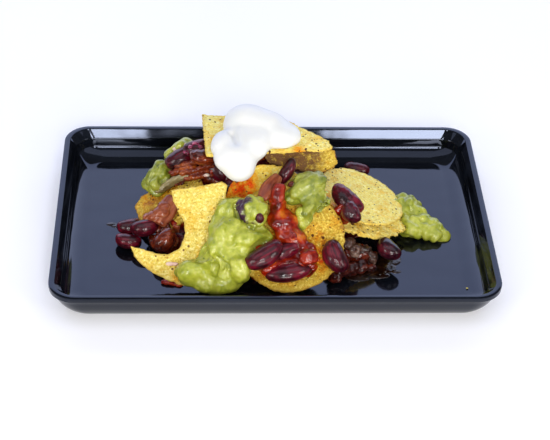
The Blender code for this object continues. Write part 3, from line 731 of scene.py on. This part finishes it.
cut_piece("tomato_piece_front", STEWED_TOMATO, bumps=1.5, size=3.2)
sauce = copy_of("tomato_salsa", "run_down_tomato_sauce")
remesh(sauce, voxel=0.55)
soften(sauce, factor=0.6, times=5)
swell(sauce, 0.8)
swell(sauce, 1.6, size=6.0, noise_depth=0)
smear(sauce, height=0.7, long=9.0, wide=5.0, way=(0.2, -0.7, -0.6))
soften(sauce, factor=0.5, times=3)
swell(sauce, 0.35, size=2.0, noise_depth=0)
soften(sauce, factor=0.5, times=1)
dress(sauce, SAUCE, ["tomato_salsa"])


# ------------ loose bean salsa
# The heap's filling: kidney beans, cut onion and tomato, loose in a brown-red sauce. The sauce is one smaller core,
# and the beans and cut pieces are pressed into its skin where nothing else covers it.

# Cooked bean and tomato sauce: dark brown-red, coarse with skins and seeds, and wet
BEAN_SAUCE, tree, shader, place = new_material("brown_bean_sauce")
thick = put(tree, "TexNoise", {"Vector": place, "Scale": 0.2, "Detail": 5.0, "Roughness": 0.65})
colour = put(
    tree,
    "ValToRGB",
    {"Fac": thick},
    stops=((0.3, "#280A05"), (0.48, "#541808"), (0.62, "#802C0C"), (0.78, "#A85018")),
)
fine = put(tree, "TexNoise", {"Vector": place, "Scale": 0.7, "Detail": 4.0})
bump = put(tree, "Bump", {"Height": fine, "Strength": 0.5, "Distance": 0.9 * MM})
surface(tree, shader, colour, bump, 0.25, specular=0.25, coat=(0.45, 0.03), glow=(0.25, (1.0, 0.2, 0.1), 2.0))

core = copy_of("bean_salsa", "bean_sauce_core")
# Random places spread evenly on the core's skin, and every other CAD piece to keep clear of. No copy is pressed in
# where the skin faces down or lies under the lowest seat, in millimetres.
SEED, TRIES, MOST_DOWNWARD, LOWEST_SEAT = 7, 6000, -0.35, 6
bm = bmesh.new()
bm.from_mesh(core.data)
areas = [face.calc_area() for face in bm.faces]
draw = random.Random(SEED)
candidates = []
for face in draw.choices(list(bm.faces), weights=areas, k=TRIES):
    a, b, c = [vert.co for vert in face.verts[:3]]
    s, t = sorted((draw.random(), draw.random()))
    candidates.append(((a * s + b * (t - s) + c * (1 - t)) / MM, face.normal.copy()))
bm.free()
around = []
for name, cad_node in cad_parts.items():
    if name != "bean_salsa":
        bm = bmesh.new()
        bm.from_mesh(cad_node.data)
        around.append(BVHTree.FromBMesh(bm))
        bm.free()


def clear_of_others(place, margin):
    """Whether a place is at least a margin away from every other CAD piece."""
    return all(other.find_nearest(place * MM, margin * MM)[0] is None for other in around)


remesh(core, voxel=1.0)
soften(core, factor=0.6, times=6)
swell(core, -2.4)
swell(core, 3.0, size=7.0)
swell(core, 1.0, size=2.5, noise_depth=1)
dress(core, BEAN_SAUCE, ["bean_salsa"])


def pattern_bean(length, width, bend):
    """One low-detail bean at the origin, its length along X."""
    bpy.ops.object.select_all(action="DESELECT")
    bpy.ops.mesh.primitive_uv_sphere_add(segments=16, ring_count=9, radius=1, rotation=(0, math.pi / 2, 0))
    shape = bpy.context.object
    bpy.ops.object.transform_apply(location=True, rotation=True, scale=True)
    places = corners(shape) * MM
    along = places[:, 0].copy()
    # Blunt ends: the breadth falls off more slowly than a ball's, and the middle is bent like a kidney's
    blunt = np.sqrt(np.clip(1 - along**2, 0, 1)) ** -0.2
    blunt[np.abs(along) > 0.999] = 1
    places[:, 0] *= length / 2
    places[:, 1] = places[:, 1] * blunt * width / 2 + bend * (along**2 - 0.4)
    places[:, 2] *= blunt * 0.46 * width
    set_corners(shape, places)
    return shape


def scatter(name, shape, count, spacing, clearance, sink, material, sizes, ends=0.0):
    """Presses copies of one shape into the core's skin, clear of each other and of the rest, as one piece."""
    kept, shapes = [], []
    base = corners(shape)
    faces = [tuple(face.vertices) for face in shape.data.polygons]
    while candidates and len(kept) < count:
        place, normal = candidates.pop()
        if normal.z < MOST_DOWNWARD or place.z < LOWEST_SEAT:
            continue
        if any((place - other).length < spacing for other in kept):
            continue
        seat = place - normal * sink
        if not clear_of_others(seat, clearance):
            continue
        lengthwise = normal.orthogonal()
        lengthwise.rotate(Matrix.Rotation(draw.uniform(0, math.tau), 3, normal))
        # Its two ends may lie a little nearer to other pieces than its middle
        tips = [seat + lengthwise * side * ends for side in (-1, 1)] if ends else []
        if not all(clear_of_others(tip, clearance * 0.6) for tip in tips):
            continue
        kept.append(place)
        across = normal.cross(lengthwise)
        size = draw.uniform(*sizes)
        tilt = Matrix.Rotation(draw.uniform(-0.3, 0.3), 3, lengthwise)
        turn = tilt @ Matrix((lengthwise, across, normal)).transposed()
        shapes.append(base * size @ np.array(turn).T + np.array(seat))
    mesh = bpy.data.meshes.new(name)
    verts = np.concatenate(shapes) * MM
    step = len(base)
    all_faces = [tuple(v + k * step for v in face) for k in range(len(shapes)) for face in faces]
    mesh.from_pydata(verts.tolist(), [], all_faces)
    piece = added(name, mesh)
    # Each copy reads its colour from a place of its own
    grain = np.concatenate([base + (k * 37.0, k * 11.0, 0) for k in range(len(shapes))])
    mark(piece, "grain", grain, "FLOAT_VECTOR", "vector")
    bpy.data.objects.remove(shape)
    dress(piece, material, [])


whole_bean = pattern_bean(length=16.5, width=9.5, bend=1.6)
scatter(
    "salsa_beans",
    whole_bean,
    count=60,
    spacing=9.0,
    clearance=3.4,
    sink=3.4,
    material=BEAN_SKIN,
    sizes=(0.8, 1.1),
    ends=6.0,
)


def pattern_dice(width, depth, height):
    """One cut piece at the origin, its corners softened by stewing."""
    bpy.ops.object.select_all(action="DESELECT")
    bpy.ops.mesh.primitive_cube_add(size=1)
    shape = bpy.context.object
    bpy.ops.object.mode_set(mode="EDIT")
    bpy.ops.mesh.select_all(action="SELECT")
    bpy.ops.transform.resize(value=(width * MM, depth * MM, height * MM))
    bpy.ops.mesh.subdivide(number_cuts=3)
    bpy.ops.object.mode_set(mode="OBJECT")
    swell(shape, 2.2, size=3.0)
    soften(shape, factor=0.6, times=3)
    return shape


# In the same order as for the beans: how many, how far apart, how clear of the rest and how deep
tomato_dice, onion_dice = pattern_dice(7.5, 6, 4), pattern_dice(8.5, 4.5, 2.2)
scatter("salsa_tomato", tomato_dice, 34, 6.5, 1.6, 1.6, STEWED_TOMATO, (0.7, 1.1))
scatter("salsa_onion", onion_dice, 60, 5.0, 1.2, 1.0, STEWED_ONION, (0.6, 1.1))


# ------------ loose sauce
# Sauce that has slid off the heap: dark lumps with crushed bean beside the right beans, and red sauce pressed out
# between the front beans and by the bean on the right chip. It is soft, wet and lumpy.


def melted(name, lumps, material, voxel=0.5, rough=0.8, size=3.2):
    """Melts squashed balls into one soft, bumpy piece: each ball is its place and its three radii in millimetres."""
    bpy.ops.object.select_all(action="DESELECT")
    balls = []
    for x, y, z, long, wide, tall in lumps:
        bpy.ops.mesh.primitive_uv_sphere_add(segments=16, ring_count=10, radius=MM, location=(x * MM, y * MM, z * MM))
        bpy.ops.object.mode_set(mode="EDIT")
        bpy.ops.mesh.select_all(action="SELECT")
        bpy.ops.transform.resize(value=(long, wide, tall))
        bpy.ops.object.mode_set(mode="OBJECT")
        balls.append(bpy.context.object)
    for ball in balls:
        ball.select_set(True)
    if len(balls) > 1:
        bpy.ops.object.join()
    bpy.ops.object.transform_apply(location=True, rotation=True, scale=True)
    piece = bpy.context.object
    piece.name = piece.data.name = name
    remesh(piece, voxel)
    soften(piece, factor=0.5, times=4)
    if rough:
        swell(piece, rough, size, noise_depth=0)
    grain_of(piece)
    dress(piece, material, [])


melted(
    "sauce_by_right_beans",
    (
        (35, -41, 8, 5, 4, 4), (40, -38.5, 6.5, 4.5, 4, 3.6), (45.5, -36, 5.6, 4, 4, 3), (50, -35, 4.6, 4, 3, 2),
        (38, -31, 10, 4, 4, 4), (46, -33, 6, 4, 4, 3.4), (31, -45, 6, 4, 3, 3),
    ),
    DARK_SAUCE,
    rough=1.5,
    size=2.4,
)
melted(
    "sauce_lumps_right",
    ((43, -30, 11.5, 5, 4, 4.2), (48, -29, 10.5, 4, 3.6, 3.6), (39, -27, 14, 4, 3.5, 3), (52, -31, 7.5, 3, 3, 3)),
    CRUSHED_BEAN,
    rough=1.6,
    size=2.2,
)
melted(
    "sauce_front_edge",
    (
        (3, -50.8, 20.5, 4, 2, 1.4), (9, -50.5, 21.2, 4, 2.4, 1.6), (13.4, -53, 22.5, 3, 2, 1.4),
        (-3, -50, 24, 4, 2.4, 2), (-8, -48, 27.5, 3, 2.4, 2.4), (19, -48, 21, 4, 2.5, 1.5),
        (-5, -54.5, 18.6, 3.4, 2.4, 2.6), (-1.5, -52.8, 21, 3.2, 2, 2), (17.6, -52.4, 20.6, 2.8, 2.2, 1.8),
    ),
    SAUCE,
    rough=1.2,
)
melted(
    "sauce_by_top_bean",
    (
        (33.3, -19.6, 30, 3, 2.4, 3), (35.1, -19.8, 33, 2, 1.6, 2), (37, -18.5, 24, 3, 2.2, 4),
        (40, -17, 28, 2.4, 2, 2),
    ),
    SAUCE,
    rough=1.0,
)


# ------------ onion slices and small bits
# Cut onion, cooked brown or still raw and pink, with bits of tomato, bean and guacamole that fell from the spoon.
# Each was cut by hand, and lies where it dropped.

melted(
    "onion_petal_left_low",
    (
        (-65, -9, 17.4, 4.4, 3.6, 2.4), (-62, -9.6, 19, 5, 4, 2.6), (-59, -9, 20.8, 5, 4, 2.8),
        (-57.5, -6, 22.6, 4, 4, 2.6),
    ),
    STEWED_ONION,
    rough=0.0,
)
# Five thin slices side by side, each from one end to the other
ONION_SLICES = (
    ((-53, 14.5, 29.5), (-43, 12.6, 34.6)), ((-47.5, 11.4, 31.4), (-36, 10, 36)),
    ((-50, 16.8, 32.6), (-39, 15, 36.6)), ((-45, 9, 29.6), (-34, 7.6, 33.4)), ((-41, 12, 33), (-34, 9, 38)),
)
melted(
    "onion_slices_back_left",
    [
        (*np.add(np.multiply(start, 1 - share), np.multiply(end, share)), 2.8, 1.8, 1.7)
        for start, end in ONION_SLICES
        for share in (0.0, 0.25, 0.5, 0.75, 1.0)
    ],
    SAUCED_ONION,
    voxel=0.4,
    rough=1.0,
    size=2.6,
)
melted(
    "onion_bits_back_left",
    (
        (-51.8, 26.8, 36.0, 1.8, 1.4, 1.2), (-47.5, 27.7, 38.0, 2.2, 1.4, 1.2), (-44.5, 26.5, 39.4, 1.6, 1.4, 1.4),
        (-35.5, 5.2, 34.6, 1.8, 1.1, 1.0),
    ),
    RAW_ONION,
    voxel=0.35,
    rough=0.5,
    size=1.8,
)
melted(
    "red_onion_bits_back_left",
    (
        (-46.0, 16.1, 41.8, 2.0, 1.2, 1.0), (-43.9, 16.6, 45.1, 1.6, 1.3, 1.1), (-41.1, 17.8, 46.4, 2.0, 1.1, 1.0),
        (-38.7, 16.0, 45.7, 1.4, 1.0, 1.0),
    ),
    RED_ONION,
    voxel=0.35,
    rough=0.6,
    size=1.6,
)
melted(
    "onion_strip_back_left",
    (
        (-61, 9.6, 20.6, 2.6, 1.2, 1.4), (-59, 9.8, 22, 3, 1.3, 1.8), (-56.5, 10.4, 23.8, 3.4, 1.4, 2.2),
        (-54, 11, 25.6, 3.6, 1.5, 2.4), (-51.5, 11, 27.4, 3.6, 1.6, 2.4), (-48.5, 10.4, 29, 3.4, 1.6, 2.2),
        (-46, 9.8, 30, 3, 1.4, 1.6),
    ),
    ONION_SKIN,
    rough=0.0,
)
melted(
    "onion_bit_front_left",
    ((-54.1, -44.5, 15, 2.4, 1.3, 1.0), (-51.6, -44.8, 15.2, 1.8, 1.1, 0.9)),
    RAW_ONION,
    voxel=0.35,
    rough=0.4,
)
melted(
    "red_bits_front_left",
    ((-56, -46, 4.0, 3, 1.8, 1.2), (-52.6, -46.8, 4.0, 3, 1.8, 1.3), (-49.4, -47.6, 3.8, 2.4, 1.6, 1.0)),
    STEWED_TOMATO,
    voxel=0.35,
    rough=0.8,
    size=1.6,
)
melted("brown_bit_right", ((53, -24, 4.4, 2.6, 1.8, 1.6),), BEAN_SAUCED, voxel=0.4, rough=0.8, size=1.6)
melted(
    "green_drip",
    ((13, -28, 36, 2.6, 2.4, 3), (13.4, -30, 33, 2.4, 2, 3.4), (14.2, -31.6, 29.6, 2.2, 1.8, 2.6)),
    GUACAMOLE,
    voxel=0.45,
    rough=0.5,
)
melted("olive_bit_on_guacamole", ((9, -15, 44, 2.6, 1.8, 1.6),), BEAN_SAUCED, voxel=0.4, rough=0.8, size=1.6)
melted("dark_bean_on_ball", ((-8.4, -36.4, 38.4, 2.4, 2.2, 3.0),), BEAN_SKIN, voxel=0.4, rough=0.4)


# ------------ thin juice and a bubble
# Thin juice that has drained from the salsa into a pool on the tray, with bubbles in it and one drop at the left,
# and one ring-shaped bubble in the red sauce.

# Bean and tomato juice: a clear dark film with a mirror surface, faintly rippled
JUICE, tree, shader, place = new_material("thin_bean_juice")
cloud = put(tree, "TexNoise", {"Vector": place, "Scale": 0.3, "Detail": 4.0})
colour = put(tree, "ValToRGB", {"Fac": cloud}, stops=((0.4, "#0C0604"), (0.7, "#2A1206")))
ripple = put(tree, "Bump", {"Height": cloud, "Strength": 0.5, "Distance": 0.6 * MM})
surface(tree, shader, colour, ripple, 0.06)
JUICE_PIECES = {
    "juice_pool_right": (
        (50, -36, 3.1, 9, 6, 0.65), (57, -33, 3.1, 8, 6, 0.65), (62, -27, 3.1, 6, 6, 0.65),
        (54, -40, 3.1, 7, 3, 0.65), (64, -37, 3.1, 3, 1.6, 0.6), (44, -40, 3.1, 8, 5, 0.65),
    ),
    "juice_bubbles_right": (
        (58.4, -37.6, 3.7, 0.9, 0.8, 0.6), (62.1, -33.4, 3.7, 0.8, 0.7, 0.6), (55.4, -40.0, 3.7, 0.8, 0.7, 0.6),
        (48.2, -43.0, 3.6, 0.9, 0.7, 0.6),
    ),
    "juice_drop_left": ((-86.5, 3.0, 3.1, 3.2, 1.8, 0.5), (-84.5, 1.2, 3.1, 2.4, 1.4, 0.45)),
}
for name, lumps in JUICE_PIECES.items():
    voxel = 0.25 if name == "juice_pool_right" else 0.2
    melted(name, lumps, JUICE, voxel, rough=0.0)
BUBBLE_PLACE, BUBBLE_RADIUS, BUBBLE_WALL = (8.4, -44.2, 33.0), 1.7, 0.55
bpy.ops.object.select_all(action="DESELECT")
bpy.ops.mesh.primitive_torus_add(
    major_radius=BUBBLE_RADIUS * MM,
    minor_radius=BUBBLE_WALL * MM,
    major_segments=24,
    minor_segments=10,
    location=[part * MM for part in BUBBLE_PLACE],
    rotation=(0.7, 0.2, 0),
)
bubble = bpy.context.object
bubble.name = bubble.data.name = "bubble_ring_in_sauce"
dress(bubble, SAUCE, [])


# ------------ corn crumbs
# Three crumbs of fried corn that have dropped from the chips on to the bare tray. They are dry, and lie loose.

melted(
    "corn_crumbs",
    ((99.8, -50.9, 3.7, 0.7, 0.6, 0.5), (66, 18, 3.7, 0.9, 0.8, 0.6), (-40, 54, 3.7, 1.1, 0.8, 0.6)),
    CORN_PALE,
    voxel=0.25,
    rough=0.3,
    size=0.8,
)


# ------------ floor, camera and lights
# A pale floor and soft lights: a low one in front, two tall ones above it that the back wall mirrors as bright
# bands, one at each side, a wide one overhead, and a cool wide one behind that the tray's floor mirrors.

bpy.ops.object.select_all(action="DESELECT")
bpy.ops.mesh.primitive_plane_add(size=4, location=(0, 0, -0.1 * MM))
floor = bpy.context.object
floor.name = "floor"
# Matt white paint, bright enough to read as a white ground
FLOOR_PAINT, tree, shader, place = new_material("pale_floor")
feed(tree, shader, {
    "Base Color": linear("#F4F3F6"),
    "Roughness": 0.9,
    "Emission Color": linear("#FFFFFF"),
    "Emission Strength": 0.12,
})
floor.data.materials.append(FLOOR_PAINT)

# A long lens almost a metre off, looking down at 38 degrees
CAMERA_PLACE, LENS, SENSOR = Vector((-36.7, -676.3, 543.5)) * MM, 104.70, 36
PITCH, YAW, ROLL = math.radians(38.3), math.radians(-3.24), math.radians(2.04)
forward = Vector((-math.sin(YAW) * math.cos(PITCH), math.cos(YAW) * math.cos(PITCH), -math.sin(PITCH)))
right = Vector((math.cos(YAW), math.sin(YAW), 0))
up = right.cross(forward)
rolled_right = math.cos(ROLL) * right + math.sin(ROLL) * up
rolled_up = math.cos(ROLL) * up - math.sin(ROLL) * right
camera_data = bpy.data.cameras.new("camera")
camera_data.lens = LENS
camera_data.sensor_width = SENSOR
camera_data.sensor_fit = "HORIZONTAL"
camera = added("camera", camera_data)
turn = Matrix((rolled_right, rolled_up, -forward)).transposed().to_4x4()
camera.matrix_world = Matrix.Translation(CAMERA_PLACE) @ turn
bpy.context.scene.camera = camera


def softbox(name, place, aim, width, height, power, colour):
    """A rectangular studio light of so many watts, its place, its aim and its size in metres."""
    light = bpy.data.lights.new(name, "AREA")
    light.shape = "RECTANGLE"
    light.size, light.size_y = width, height
    light.energy = power
    light.color = linear(colour)[:3]
    lamp = added(name, light)
    lamp.location = place
    lamp.rotation_euler = (Vector(aim) - Vector(place)).to_track_quat("-Z", "Y").to_euler()


softbox("front_window", (0.06, -1.5, 0.24), (0.0, 0.06, 0.014), 0.6, 0.26, 8, "#FFFDF8")
softbox("front_window_left", (-0.17, -1.5, 0.98), (0, 0.07, 0.015), 0.16, 0.5, 6, "#FFFFFF")
softbox("front_window_right", (0.25, -1.5, 0.98), (0, 0.07, 0.015), 0.18, 0.5, 7.5, "#FFFFFF")
softbox("left_window", (-1.15, -0.95, 0.6), (0, 0, 0.03), 0.5, 0.7, 7, "#FFFDF8")
softbox("right_window", (1.15, -0.95, 0.6), (0, 0, 0.03), 0.5, 0.7, 7, "#FFFDF8")
softbox("ceiling", (0.0, -0.2, 1.2), (0, -0.2, 0), 2.2, 0.8, 6.5, "#ECF0FF")
softbox("back_wall", (0.0, 1.5, 0.75), (0, 0, 0.2), 4.0, 1.3, 41, "#C4D0F4")

world = bpy.data.worlds.new("studio")
bpy.context.scene.world = world
world.use_nodes = True
feed(world.node_tree, world.node_tree.nodes["Background"], {"Color": linear("#E8ECF4"), "Strength": 0.2})
bpy.context.scene.view_settings.view_transform = "Standard"
